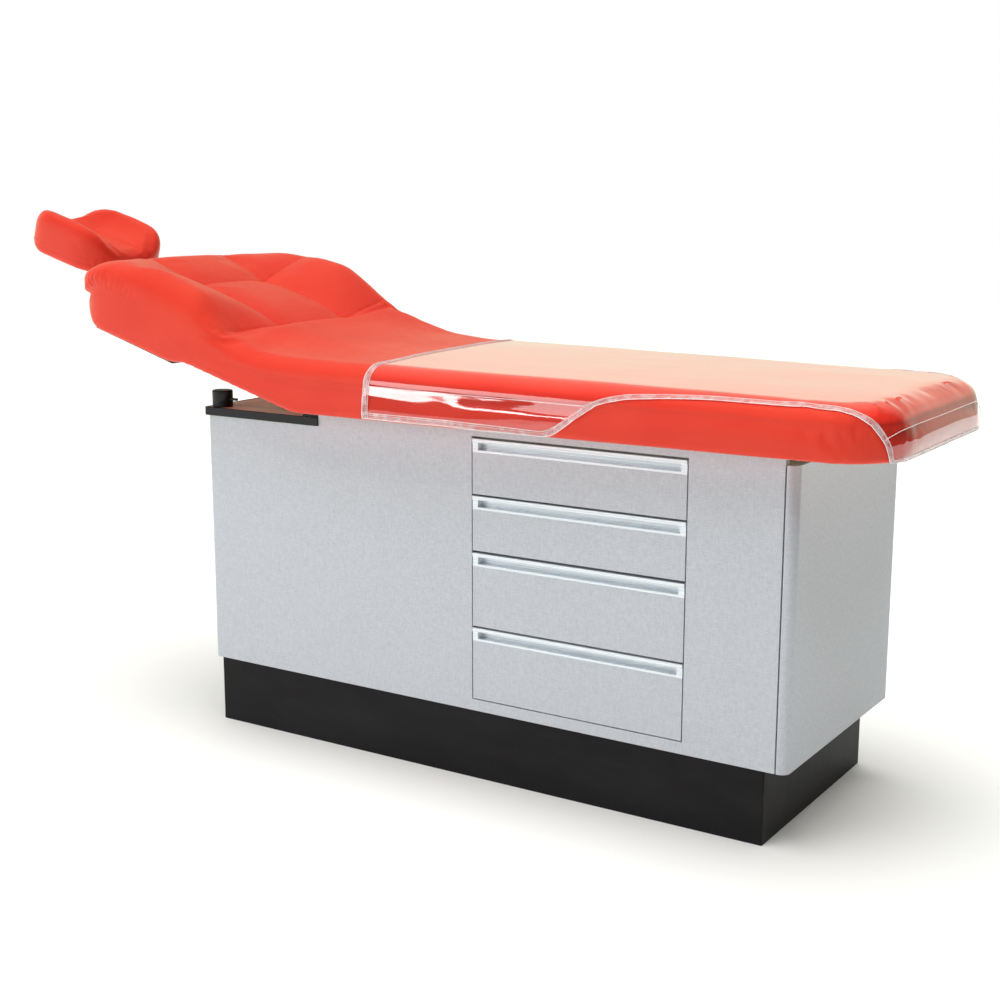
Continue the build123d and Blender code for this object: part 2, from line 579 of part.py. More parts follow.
with BuildPart() as headrest_bar:
    board(BAR_T, (-BAR_HALF_WIDTH, BAR_HALF_WIDTH), bar_z, plane=UNDER)
    board((BAR_T[1], LOWER_PIVOT_T), (-TONGUE_HALF, TONGUE_HALF), bar_z, plane=UNDER)
    pin((LOWER_PIVOT.X, -TONGUE_HALF, LOWER_PIVOT.Z), (0, 1, 0), 9.0, 2 * TONGUE_HALF)
    pivot_hole(LOWER_PIVOT, PIVOT_RADIUS + RUNNING)
write(headrest_bar, "headrest_bar")

link_vector = UPPER_PIVOT - LOWER_PIVOT
LINK = Plane(
    origin=LOWER_PIVOT,
    x_dir=link_vector.normalized(),
    z_dir=Vector(0, 1, 0),
)
link_length = link_vector.length

with BuildPart() as headrest_link:
    for low in (CHEEK[0], -CHEEK[1]):
        board((0, link_length), (-9, 9), (low, low + CHEEK[1] - CHEEK[0]), plane=LINK)
        for pivot in (LOWER_PIVOT, UPPER_PIVOT):
            pin((pivot.X, low, pivot.Z), (0, 1, 0), CHEEK_RADIUS, CHEEK[1] - CHEEK[0])
    board((36, link_length - 36), (-9, 9), (-CHEEK[0], CHEEK[0]), plane=LINK)
    for pivot in (LOWER_PIVOT, UPPER_PIVOT):
        pivot_hole(pivot, PIVOT_RADIUS)
write(headrest_link, "headrest_link")

with BuildPart() as headrest_pins:
    for pivot, proud in ((LOWER_PIVOT, 12.0), (UPPER_PIVOT, 3.0)):
        pin((pivot.X, -CHEEK[1], pivot.Z), (0, 1, 0), PIVOT_RADIUS, 2 * CHEEK[1] + proud)
        pin((pivot.X, -CHEEK[1], pivot.Z), (0, -1, 0), 7.0, 4.0)
    fillet(headrest_pins.edges().group_by(Axis.Y)[0], radius=1.2)
write(headrest_pins, "headrest_pins")

LEVER_LENGTH = 62.0

with BuildPart() as headrest_lock_lever:
    pin((LOWER_PIVOT.X, CHEEK[1] + 1, LOWER_PIVOT.Z), (0, 1, 0), 10.0, 9.0)
    board((0, LEVER_LENGTH), (-5, 5), (CHEEK[1] + 3, CHEEK[1] + 9), plane=LINK)
    lever_end = LINK.from_local_coords((LEVER_LENGTH, 0, CHEEK[1] + 3))
    pin(lever_end, (0, 1, 0), 7.0, 6.0)
    pivot_hole(LOWER_PIVOT, PIVOT_RADIUS + RUNNING)
write(headrest_lock_lever, "headrest_lock_lever")

PLATE = 5.0

with BuildPart() as headrest_plate:
    with BuildSketch(HEADREST.offset(-PLATE - 0.3)):
        with Locations((-22.5, 0)):
            RectangleRounded(165, 140, 12)
    extrude(amount=PLATE)
    board((-94, -76), (-TONGUE_HALF, TONGUE_HALF), (-34, -PLATE - 0.3), plane=HEADREST)
    pin((UPPER_PIVOT.X, -TONGUE_HALF, UPPER_PIVOT.Z), (0, 1, 0), 9.0, 2 * TONGUE_HALF)
    pivot_hole(UPPER_PIVOT, PIVOT_RADIUS + RUNNING)
write(headrest_plate, "headrest_plate")

PAD_LENGTH = 260.0
PAD_WIDTH = 256.0
PAD_CORNER = 70.0
DISH_RADIUS = 124.0
DISH_FLOOR = 55.0
side_view = Plane(origin=HEADREST_BASE, x_dir=HEADREST.x_dir, z_dir=(0, 1, 0))

with BuildPart() as headrest_pad:
    with BuildSketch(side_view):
        with BuildLine():
            half = PAD_LENGTH / 2
            base = Polyline((-half, 26), (-half, 0), (half, 0), (half, 58))
            dome = Spline(base @ 1, (112, 90), (20, 103), (-66, 81), (-99, 53), base @ 0)
        make_face()
    extrude(amount=PAD_WIDTH / 2, both=True)
    with BuildSketch(HEADREST.offset(-10)):
        RectangleRounded(PAD_LENGTH, PAD_WIDTH, PAD_CORNER)
    extrude(amount=150, mode=Mode.INTERSECT)
    dish_start = HEADREST.from_local_coords((-PAD_LENGTH, 0, DISH_FLOOR + DISH_RADIUS))
    pin(dish_start, HEADREST.x_dir, DISH_RADIUS, 2 * PAD_LENGTH, mode=Mode.SUBTRACT)
write(headrest_pad, "headrest_pad")
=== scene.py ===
import json
import math

import bpy
import numpy as np
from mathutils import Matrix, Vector, noise
from mathutils.bvhtree import BVHTree


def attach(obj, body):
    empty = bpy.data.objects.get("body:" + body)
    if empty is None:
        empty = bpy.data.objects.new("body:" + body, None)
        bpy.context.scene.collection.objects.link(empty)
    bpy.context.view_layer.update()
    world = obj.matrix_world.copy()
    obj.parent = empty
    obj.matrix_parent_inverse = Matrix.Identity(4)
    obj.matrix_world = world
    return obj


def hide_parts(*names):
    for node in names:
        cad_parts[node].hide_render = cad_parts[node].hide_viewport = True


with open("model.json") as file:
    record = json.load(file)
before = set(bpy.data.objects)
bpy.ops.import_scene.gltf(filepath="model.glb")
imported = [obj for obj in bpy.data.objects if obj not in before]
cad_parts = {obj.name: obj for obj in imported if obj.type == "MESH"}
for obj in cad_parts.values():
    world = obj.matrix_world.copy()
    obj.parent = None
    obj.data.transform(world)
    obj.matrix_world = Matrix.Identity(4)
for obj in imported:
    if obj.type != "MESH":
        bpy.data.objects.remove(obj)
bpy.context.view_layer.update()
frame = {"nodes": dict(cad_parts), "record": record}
nodes = frame["nodes"]
scene = bpy.context.scene
MM = 0.001

# ---------------------------------------------------------------- camera
camera_data = bpy.data.cameras.new("camera")
camera_data.sensor_width = 36.0
camera_data.lens = 56.2
camera_data.clip_end = 50.0
camera = bpy.data.objects.new("camera", camera_data)
scene.collection.objects.link(camera)
CAMERA_YAW, CAMERA_PITCH, CAMERA_ROLL = 32.647, 11.254, -0.076
camera.location = (1.65426, -2.72683, 1.16549)
camera.rotation_euler = (
    math.radians(90 - CAMERA_PITCH),
    math.radians(CAMERA_ROLL),
    math.radians(CAMERA_YAW),
)
scene.camera = camera
scene.view_settings.view_transform = "Standard"


# ---------------------------------------------------------------- node materials
class Shader:
    """A node material under construction: the methods add nodes and return their output sockets."""

    def __init__(self, name, **principled):
        self.material = bpy.data.materials.new(name)
        self.material.use_nodes = True
        self.tree = self.material.node_tree
        self.bsdf = self.tree.nodes["Principled BSDF"]
        self.set(**principled)

    def set(self, **values):
        """Sets or links inputs of the Principled BSDF; Base_Color means its input Base Color."""
        for key, value in values.items():
            self.put(self.bsdf.inputs[key.replace("_", " ")], value)

    def put(self, socket, value):
        if isinstance(value, bpy.types.NodeSocket):
            self.tree.links.new(value, socket)
        elif hasattr(value, "__len__") and len(value) == 3 and len(socket.default_value) == 4:
            socket.default_value = (*value, 1.0)
        else:
            socket.default_value = value

    def add(self, kind, output=0, inputs=(), **settings):
        node = self.tree.nodes.new(kind)
        for key, value in settings.items():
            setattr(node, key, value)
        for key, value in dict(inputs).items():
            self.put(node.inputs[key], value)
        return node.outputs[output]

    def place(self, stretch=(1, 1, 1)):
        """Position on the object in metres, scaled by stretch."""
        spot = self.add("ShaderNodeTexCoord", "Object")
        return self.add("ShaderNodeMapping", inputs={"Vector": spot, "Scale": stretch})

    def noise(self, stretch, scale=1.0, detail=3.0, roughness=0.5):
        inputs = {"Vector": self.place(stretch), "Scale": scale, "Detail": detail, "Roughness": roughness}
        return self.add("ShaderNodeTexNoise", inputs=inputs)

    def cells(self, scale, feature="F1"):
        inputs = {"Vector": self.place(), "Scale": scale}
        return self.add("ShaderNodeTexVoronoi", inputs=inputs, feature=feature)

    def remap(self, value, low, high, to_low=0.0, to_high=1.0):
        inputs = {0: value, 1: low, 2: high, 3: to_low, 4: to_high}
        return self.add("ShaderNodeMapRange", inputs=inputs)

    def math(self, operation, a, b=0.0):
        return self.add("ShaderNodeMath", inputs={0: a, 1: b}, operation=operation)

    def mix(self, factor, a, b, blend="MIX"):
        inputs = {0: factor, 6: a, 7: b}
        return self.add("ShaderNodeMix", 2, inputs, data_type="RGBA", blend_type=blend)

    def bump(self, height, strength, distance, normal=None):
        inputs = {"Height": height, "Strength": strength, "Distance": distance}
        if normal is not None:
            inputs["Normal"] = normal
        return self.add("ShaderNodeBump", inputs=inputs)


def coated_vinyl(name, color, pale):
    """Upholstery vinyl: fine pebble grain, a soft mottle and a satin coat."""
    s = Shader(name, Specular_IOR_Level=0.36, Specular_Tint=(1.0, 0.72, 0.5))
    s.set(Coat_Weight=0.03, Coat_Roughness=0.3)
    s.set(Sheen_Weight=0.34, Sheen_Roughness=0.35, Sheen_Tint=(1.0, 0.72, 0.48))
    mottle = s.noise((6, 6, 6), detail=4.0)
    grain = s.cells(900.0)
    tint = s.remap(mottle, 0.35, 0.7)
    pores = s.remap(grain, 0.0, 0.45, 0.9, 1.0)
    shade = s.mix(tint, color, pale)
    pored = s.add("ShaderNodeCombineColor", 0, {0: pores, 1: pores, 2: pores})
    s.set(Base_Color=s.mix(0.5, shade, pored, "MULTIPLY"))
    s.set(Roughness=s.remap(s.noise((40, 40, 40), detail=5.0), 0.3, 0.7, 0.43, 0.53))
    creep = s.bump(s.noise((55, 55, 55), detail=6.0, roughness=0.6), 0.10, 0.0008)
    s.set(Normal=s.bump(grain, 0.22, 0.0002, creep))
    return s.material


def linen_laminate(name, color, dark):
    """Pressed laminate with a fine woven print: threads run both ways, with scattered flecks."""
    s = Shader(name, Specular_IOR_Level=0.4)
    upright = s.noise((760, 760, 110), detail=2.0)
    level = s.noise((110, 110, 760), detail=2.0)
    fleck = s.remap(s.noise((380, 380, 380), detail=1.0), 0.55, 0.8)
    weave = s.math("ADD", upright, level)
    shade = s.mix(s.remap(weave, 0.78, 1.22), dark, color)
    cloud = s.remap(s.noise((3, 3, 3), detail=3.0), 0.3, 0.7, 0.0, 0.10)
    shade = s.mix(cloud, shade, dark)
    s.set(Base_Color=s.mix(s.math("MULTIPLY", fleck, 0.35), shade, dark))
    s.set(Roughness=s.remap(weave, 0.8, 1.2, 0.48, 0.36))
    s.set(Normal=s.bump(weave, 0.25, 0.00012))
    return s.material


def wood_laminate(name, color, dark, stretch=(1.5, 28, 28)):
    """Woodgrain print along X: stretched bands, fine pores and a satin face."""
    s = Shader(name, Specular_IOR_Level=0.15)
    bands = s.noise(stretch, scale=1.6, detail=6.0, roughness=0.62)
    pores = s.noise((14, 900, 900), detail=2.0)
    shade = s.mix(s.remap(bands, 0.34, 0.66), dark, color)
    s.set(Base_Color=s.mix(s.remap(pores, 0.58, 0.75, 0.0, 0.5), shade, dark))
    s.set(Roughness=s.remap(pores, 0.4, 0.7, 0.42, 0.55))
    s.set(Normal=s.bump(pores, 0.2, 0.0001))
    return s.material


def chip_board(name, color, dark):
    """Faced particle board with a fleck print."""
    s = Shader(name, Roughness=0.55)
    chips = s.cells(260.0)
    shade = s.mix(s.remap(chips, 0.1, 0.6), dark, color)
    s.set(Base_Color=s.mix(s.remap(s.noise((90, 90, 90)), 0.4, 0.7, 0.0, 0.4), shade, color))
    s.set(Normal=s.bump(chips, 0.15, 0.0002))
    return s.material


def moulded_plastic(name, color, rough=0.42):
    """Fine spark-eroded grain with faint handling marks."""
    s = Shader(name, Base_Color=color, Specular_IOR_Level=0.3)
    grain = s.noise((1400, 1400, 1400), detail=2.0)
    marks = s.noise((30, 30, 30), detail=6.0, roughness=0.7)
    s.set(Roughness=s.remap(marks, 0.35, 0.7, rough - 0.08, rough + 0.08))
    s.set(Normal=s.bump(grain, 0.2, 0.00015))
    return s.material


def brushed_metal(name, color, rough=0.32, along=(6, 900, 900)):
    """Metal with fine lines along its length and slight staining."""
    s = Shader(name, Metallic=1.0)
    lines = s.noise(along, detail=3.0)
    stain = s.noise((12, 12, 12), detail=4.0)
    s.set(Base_Color=s.mix(s.remap(stain, 0.4, 0.75, 0.0, 0.35), color, tuple(c * 0.7 for c in color)))
    s.set(Roughness=s.remap(lines, 0.35, 0.65, rough - 0.07, rough + 0.08))
    s.set(Normal=s.bump(lines, 0.15, 0.0001))
    return s.material


def powder_coat(name, color):
    """Painted steel with an orange-peel face."""
    s = Shader(name, Base_Color=color, Coat_Weight=0.1)
    peel = s.noise((420, 420, 420), detail=2.0)
    s.set(Roughness=s.remap(peel, 0.35, 0.65, 0.34, 0.48))
    s.set(Normal=s.bump(peel, 0.3, 0.0002))
    return s.material


def satin_profile(name, color):
    """White-anodised aluminium extrusion with faint die lines along X."""
    s = Shader(name, Base_Color=color, Metallic=0.25, Specular_IOR_Level=0.6)
    lines = s.noise((2, 700, 700), detail=3.0)
    s.set(Roughness=s.remap(lines, 0.35, 0.65, 0.22, 0.34))
    s.set(Normal=s.bump(lines, 0.12, 0.0001))
    return s.material


red = coated_vinyl("red_upholstery", (0.74, 0.038, 0.024), (0.78, 0.052, 0.030))
laminate = linen_laminate("cabinet_laminate", (0.60, 0.625, 0.68), (0.50, 0.52, 0.57))
plinth_black = wood_laminate("plinth_laminate", (0.014, 0.013, 0.014), (0.007, 0.006, 0.007), (2, 60, 6))
# counter oak: a light olive wood, its base pushed lighter and greener than the wood itself as painted
# light against the shade and red bounce under the cushion
oak_lightened_against_shade = wood_laminate("counter_laminate", (0.84, 0.90, 0.68), (0.62, 0.67, 0.46))
core = chip_board("board_core", (0.55, 0.44, 0.30), (0.36, 0.26, 0.16))
melamine = chip_board("drawer_box_board", (0.74, 0.73, 0.70), (0.62, 0.61, 0.58))
black = moulded_plastic("black_plastic", (0.006, 0.006, 0.007))
edging = moulded_plastic("black_edging", (0.010, 0.010, 0.012), 0.35)
under_black = moulded_plastic("black_panel", (0.014, 0.014, 0.015), 0.6)
steel = brushed_metal("headrest_steel", (0.60, 0.60, 0.61))
zinc = brushed_metal("zinc", (0.62, 0.62, 0.60), 0.38, (500, 500, 500))
hinge_metal = brushed_metal("hinge_steel", (0.58, 0.58, 0.58), 0.28, (500, 500, 30))
slide_metal = brushed_metal("slide_steel", (0.60, 0.61, 0.62), 0.34, (600, 5, 600))
coat = powder_coat("frame_steel", (0.018, 0.018, 0.020))
profile = satin_profile("handle_profile", (0.78, 0.83, 0.88))

SLOT_MATERIALS = {
    "plinth_laminate": plinth_black,
    "cabinet_laminate": laminate,
    "board_core": core,
    "drawer_box_board": melamine,
    "counter_laminate": oak_lightened_against_shade,
    "black_edging": edging,
    "black_panel": under_black,
    "frame_steel": coat,
    "headrest_steel": steel,
    "zinc_fasteners": zinc,
    "hinge_steel": hinge_metal,
    "slide_steel": slide_metal,
    "handle_profile": profile,
    "black_plastic": black,
    "red_upholstery": red,
    "clear_cover": melamine,  # on the CAD cover only, which the film replaces
}
for entry in frame["record"]["subparts"]:
    node = nodes[entry["node"]]
    node.data.materials.clear()
    node.data.materials.append(SLOT_MATERIALS[entry["material_slot"]])

# ---------------------------------------------------------------- eased edges on boards and panels
EASED = {
    "plinth_laminate": 0.8,
    "cabinet_laminate": 0.8,
    "counter_laminate": 0.6,
    "black_edging": 1.2,
    "drawer_box_board": 0.6,
    "black_plastic": 0.6,
}
for entry in frame["record"]["subparts"]:
    width = EASED.get(entry["material_slot"])
    if width:
        node = nodes[entry["node"]]
        weld = node.modifiers.new("weld", "WELD")
        weld.merge_threshold = 0.00002
        ease = node.modifiers.new("ease", "BEVEL")
        ease.width = width * MM
        ease.segments = 2
        ease.limit_method = "ANGLE"
        ease.angle_limit = math.radians(50)
        ease.harden_normals = True


# ---------------------------------------------------------------- shaping tools
def smooth_step(value, low, high):
    """0 below low, 1 above high (or the other way round), smooth between."""
    t = np.clip((value - low) / (high - low), 0.0, 1.0)
    return t * t * (3 - 2 * t)


def hump(value, width):
    """A bell of height 1 about zero."""
    return np.exp(-((value / width) ** 2))


def soft_profile(points, blur):
    """A function of x through straight runs between points, with the corners rounded over blur."""
    xs, zs = zip(*points)
    step = 2.0
    fine = np.arange(min(xs) - 4 * blur, max(xs) + 4 * blur, step)
    order = np.argsort(xs)
    xs, zs = np.array(xs, float)[order], np.array(zs, float)[order]
    run = np.interp(fine, xs, zs)
    run += np.where(fine < xs[0], (fine - xs[0]) * (zs[1] - zs[0]) / (xs[1] - xs[0]), 0)
    run += np.where(fine > xs[-1], (fine - xs[-1]) * (zs[-1] - zs[-2]) / (xs[-1] - xs[-2]), 0)
    reach = np.arange(-3 * blur, 3 * blur + step, step)
    kernel = hump(reach, blur)
    kernel /= kernel.sum()
    soft = np.convolve(run, kernel, mode="same")
    return lambda x: np.interp(x, fine, soft)


def polyline_distance(x, y, points):
    """Distance in plan from (x, y) to a polyline."""
    best = np.full(np.shape(x), 1e9)
    for (ax, ay), (bx, by) in zip(points, points[1:]):
        length2 = (bx - ax) ** 2 + (by - ay) ** 2
        t = np.clip(((x - ax) * (bx - ax) + (y - ay) * (by - ay)) / length2, 0, 1)
        best = np.minimum(best, np.hypot(x - ax - t * (bx - ax), y - ay - t * (by - ay)))
    return best


def graded(low, high, low_edge, high_edge, step):
    """Stations from low to high: even in the middle, closer near both ends as on a rounded edge."""
    turn = np.linspace(0, math.pi / 2, 9)
    start = low + low_edge * (1 - np.cos(turn))
    finish = high - high_edge * (1 - np.cos(turn))
    middle = np.arange(low + low_edge + step, high - high_edge, step)
    return np.concatenate([start, middle, finish[::-1]])


class Pad:
    """A closed upholstered block over a plan with rounded corners, in millimetres.

    x runs from x0 to x1; half(x) is the half width; corner is the plan radius at each end; top and
    bottom are heights as functions of x and y. The top edge rolls over: reach(x, y) is how far in the
    roll starts and drop(x, y) how far it falls. The bottom edge is rounded by under(x, y).
    """

    def __init__(self, x0, x1, half, corner, top, bottom, reach, drop, under):
        self.x0, self.x1, self.half, self.corner = x0, x1, half, corner
        self.top, self.bottom = top, bottom
        self.reach, self.drop, self.under = reach, drop, under

    def inset(self, x, y):
        """Distance in plan from the outline, inwards."""
        first = x < (self.x0 + self.x1) / 2
        radius = np.where(first, self.corner[0], self.corner[1])
        dx = np.where(first, x - self.x0, self.x1 - x)
        dy = self.half(x) - np.abs(y)
        round_corner = radius - np.hypot(np.maximum(radius - dx, 0), np.maximum(radius - dy, 0))
        return np.maximum(np.where((dx < radius) & (dy < radius), round_corner, np.minimum(dx, dy)), 0)

    def edge_half(self, x):
        """Half width of the outline itself, corners included."""
        first = x < (self.x0 + self.x1) / 2
        radius = np.where(first, self.corner[0], self.corner[1])
        dx = np.minimum(np.where(first, x - self.x0, self.x1 - x), radius)
        return self.half(x) - radius + np.sqrt(np.maximum(radius**2 - (radius - dx) ** 2, 0))

    def build(self, name, step, rows):
        xs = graded(self.x0, self.x1, self.corner[0], self.corner[1], step)
        widest = float(np.max(self.half(xs)))
        across = graded(-1, 1, 60 / widest, 60 / widest, step / widest)
        x, v = np.meshgrid(xs, across, indexing="ij")
        y = v * self.edge_half(x)
        inset = self.inset(x, y)

        def fall(reach, drop):
            part = 1 - np.minimum(inset / reach, 1)
            return drop * (1 - np.sqrt(np.maximum(1 - part**2, 0)))

        under = self.under(x, y)
        upper = self.top(x, y) - fall(self.reach(x, y), self.drop(x, y))
        lower = self.bottom(x, y) + fall(under, under)
        count = x.size
        index = np.arange(count).reshape(x.shape)
        loop = np.concatenate([index[0, :], index[1:, -1], index[-1, -2::-1], index[-2:0:-1, 0]])
        points = [np.stack([x, y, upper], -1).reshape(-1, 3), np.stack([x, y, lower], -1).reshape(-1, 3)]
        rings = [loop]
        for row in range(1, rows):
            part = row / rows
            points.append(points[0][loop] * (1 - part) + points[1][loop] * part)
            rings.append(2 * count + (row - 1) * len(loop) + np.arange(len(loop)))
        rings.append(loop + count)
        a, b, c, d = index[:-1, :-1], index[1:, :-1], index[1:, 1:], index[:-1, 1:]
        faces = np.stack([a, b, c, d], -1).reshape(-1, 4)
        quads = [faces, faces[:, ::-1] + count]
        for ring, below in zip(rings, rings[1:]):
            quads.append(np.stack([ring, np.roll(ring, -1), np.roll(below, -1), below], -1))
        mesh = bpy.data.meshes.new(name)
        mesh.from_pydata((np.concatenate(points) * MM).tolist(), [], np.concatenate(quads).tolist())
        mesh.validate()
        pad = bpy.data.objects.new(name, mesh)
        scene.collection.objects.link(pad)
        return pad


def bake(piece):
    """Applies every modifier on the piece."""
    bpy.context.view_layer.update()
    graph = bpy.context.evaluated_depsgraph_get()
    made = bpy.data.meshes.new_from_object(piece.evaluated_get(graph))
    piece.modifiers.clear()
    piece.vertex_groups.clear()
    piece.data = made
    made.name = piece.name
    return piece


def read_points(piece, what="co"):
    values = np.empty(len(piece.data.vertices) * 3, np.float32)
    if what == "co":
        piece.data.vertices.foreach_get("co", values)
    else:
        piece.data.vertex_normals.foreach_get("vector", values)
    return values.reshape(-1, 3).astype(float)


def write_points(piece, points):
    piece.data.vertices.foreach_set("co", points.astype(np.float32).ravel())
    piece.data.update()


def push(piece, amount):
    """Moves every vertex along its normal by amount(points in mm, normals), in mm."""
    points, normals = read_points(piece), read_points(piece, "normal")
    distance = amount(points / MM, normals)
    write_points(piece, points + normals * (distance * MM)[:, None])


def remesh(piece, voxel):
    change = piece.modifiers.new("remesh", "REMESH")
    change.mode = "VOXEL"
    change.voxel_size = voxel * MM
    change.use_smooth_shade = True
    bake(piece)


def inflate(piece, hold, pressure=4.0, frames=16, cap=6.0):
    """Swells the piece as cloth with the held points fixed; no point moves more than cap millimetres."""
    start = read_points(piece)
    held = hold(start / MM)
    group = piece.vertex_groups.new(name="held")
    for level in range(1, 11):
        members = np.nonzero(np.round(held * 10).astype(int) == level)[0]
        group.add(members.tolist(), level / 10, "REPLACE")
    cloth = piece.modifiers.new("cloth", "CLOTH")
    settings = cloth.settings
    settings.quality = 4
    settings.mass = 0.3
    settings.tension_stiffness = 20
    settings.compression_stiffness = 20
    settings.shear_stiffness = 10
    settings.bending_stiffness = 3.0
    settings.use_pressure = True
    settings.uniform_pressure_force = pressure
    settings.vertex_group_mass = group.name
    settings.effector_weights.gravity = 0
    cloth.collision_settings.use_self_collision = False
    for frame_number in range(1, frames + 1):
        scene.frame_set(frame_number)
    bake(piece)
    scene.frame_set(1)
    moved = read_points(piece) - start
    size = np.linalg.norm(moved, axis=1, keepdims=True)
    write_points(piece, start + moved * np.minimum(1, cap * MM / np.maximum(size, 1e-9)))


def subdivide(piece):
    change = piece.modifiers.new("subdivide", "SUBSURF")
    change.levels = change.render_levels = 1
    bake(piece)
    piece.data.shade_smooth()


def relief(points, scale, seed=0.0, stretch=(1, 1, 1)):
    """Smooth noise from -1 to 1 at points in mm, of the given grain in mm."""
    where = points * np.array(stretch) / scale + seed
    return np.array([noise.noise(p) for p in where.tolist()])


# ---------------------------------------------------------------- upholstered top
FOOT_X, HEAD_X = 848.0, -1000.0
HALF_WIDTH, FOOT_TAPER = 330.0, 22.0
HEAD_CORNER, FOOT_CORNER = 80.0, 115.0
LONG_CREASE_Y = 112.0
UPPER_CREASE_X, LOWER_CREASE_X = -830.0, -590.0
# heights along the length: the two raised side edges, the middle, the underside and the boxing seam
seat_line = [(848, 811), (300, 818), (-300, 823)]
crest_line = [(-900, 1012), (-1000, 1009)]
near_rise = [(-420, 826), (-500, 834), (-575, 858), (-625, 906), (-665, 952), (-735, 980), (-810, 1005)]
far_rise = [(-400, 832), (-480, 854), (-560, 886), (-650, 954), (-705, 988), (-765, 1001), (-830, 1008)]
near_edge = soft_profile(seat_line + near_rise + crest_line, 16)
far_edge = soft_profile(seat_line + far_rise + crest_line, 16)
seat_middle = [(848, 813), (0, 822), (-300, 828), (-380, 834), (-450, 846), (-520, 862), (-590, 887)]
back_middle = [(-695, 927), (-830, 964), (-900, 994), (-960, 1018), (-1000, 1022)]
middle_height = soft_profile(seat_middle + back_middle, 22)
under_height = soft_profile([(848, 722), (-385, 722), (-680, 806), (-720, 805), (-1000, 886)], 9)
seat_seam = [(848, 784), (-380, 788), (-500, 800), (-600, 818)]
back_seam = [(-700, 853), (-800, 922), (-860, 955), (-930, 972), (-1000, 974)]
seam_height = soft_profile(seat_seam + back_seam, 20)
CREASES = []
for side in (-1, 1):
    upper, lower = [(x, side * LONG_CREASE_Y) for x in (UPPER_CREASE_X, LOWER_CREASE_X)]
    CREASES.append([(-965, side * 118), upper, lower])
    CREASES.append([upper, (-838, side * 276)])
    CREASES.append([lower, (-596, side * 292)])
for cross_x in (UPPER_CREASE_X, LOWER_CREASE_X):
    CREASES.append([(cross_x, -LONG_CREASE_Y), (cross_x, LONG_CREASE_Y)])
CROSSINGS = [(x, side * LONG_CREASE_Y) for x in (UPPER_CREASE_X, LOWER_CREASE_X) for side in (-1, 1)]


def half_width(x):
    return HALF_WIDTH - FOOT_TAPER * np.clip(x / FOOT_X, 0, 1)


def side_height(x, y):
    part = smooth_step(y, -150, 150)
    return near_edge(x) * (1 - part) + far_edge(x) * part


def crease_distance(x, y):
    return np.min([polyline_distance(x, y, crease) for crease in CREASES], axis=0)


def crossing_distance(x, y):
    return np.min([np.hypot(x - cx, y - cy) for cx, cy in CROSSINGS], axis=0)


def quilted(x, y):
    """1 where the quilting is, fading out towards the side edges and both ends."""
    return smooth_step(np.abs(y), 300, 240) * smooth_step(x, -545, -580) * smooth_step(x, -975, -940)


def seat_top(x, y):
    part = smooth_step(np.abs(y), 100, 282)
    height = middle_height(x) * (1 - part) + side_height(x, y) * part
    valley = 9.0 * hump(crease_distance(x, y), 32) + 6.0 * hump(crossing_distance(x, y), 30)
    return height - valley * quilted(x, y)


def roll_drop(x, y):
    """How far the rolled edge falls before the side turns upright."""
    tall = np.clip(side_height(x, y) - seam_height(x) - 8, 31, 110)
    at_end = np.maximum(smooth_step(x, -955, -990), smooth_step(x, 800, 840))
    return tall * (1 - at_end) + 34 * at_end


BOARD_REACH = {"seat": (-380, 808, 268), "back": (-949, -728, 288)}


def seat_bottom(x, y):
    """The underside, sunk into the base boards where they cover it."""
    sunk = np.zeros_like(x)
    for low, high, side in BOARD_REACH.values():
        inside = smooth_step(x, low + 2, low + 12) * smooth_step(x, high - 2, high - 12)
        sunk = np.maximum(sunk, inside * smooth_step(np.abs(y), side - 2, side - 12))
    return under_height(x) + 6 * sunk


cushion_shape = Pad(
    HEAD_X + 3,
    FOOT_X - 3,
    lambda x: half_width(x) - 3,
    (HEAD_CORNER, FOOT_CORNER),
    seat_top,
    seat_bottom,
    lambda x, y: 34 + 36 * smooth_step(x, -450, -650),
    roll_drop,
    lambda x, y: 6 + 36 * smooth_step(x, -935, -990),
)
cushion = cushion_shape.build("main_upholstery", 8.0, 9)
remesh(cushion, 7.0)


def cushion_hold(p):
    """Fixed points: the underside, the lower sides and the sewn creases."""
    x, y, z = p.T
    low = smooth_step(z - under_height(x), 26, 12)
    sewn = hump(crease_distance(x, y), 7) * quilted(x, y) * (z > under_height(x) + 30)
    return np.clip(np.maximum(low, sewn * 1.2), 0, 1)


inflate(cushion, cushion_hold, pressure=4.0, frames=14, cap=6.0)
subdivide(cushion)


